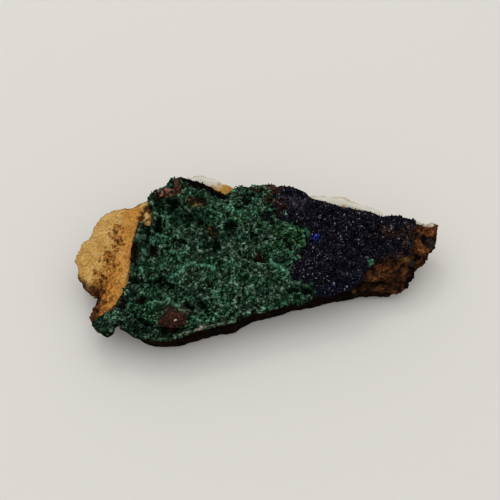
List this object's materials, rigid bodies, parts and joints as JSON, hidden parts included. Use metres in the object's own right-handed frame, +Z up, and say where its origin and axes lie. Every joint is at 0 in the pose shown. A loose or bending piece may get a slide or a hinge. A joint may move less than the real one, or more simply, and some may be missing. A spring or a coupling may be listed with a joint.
{
  "type": "azurite specimen",
  "caption": "Flat slab of tan sandstone whose sloping upper face carries a green malachite crust and a dark blue azurite crust of small blocky crystals.",
  "frame": {"origin": "middle of the specimen's box seen from above, at the level of the flat patch that it rests on", "axes": "+X along the slab to its rusty end, +Y to the higher back edge, +Z up"},
  "size_m": [0.1102, 0.052, 0.0217],
  "materials": {
    "host_rock": "dull tan sandstone, cream where fresh and rusty at its right end",
    "malachite_crust": "dark green velvety tufts",
    "azurite_crust": "glassy blue-black crystal faces"
  },
  "bodies": {
    "root": {"host_rock": "host_rock", "malachite_crust": "malachite_crust", "azurite_crust": "azurite_crust"}
  },
  "joints": []
}
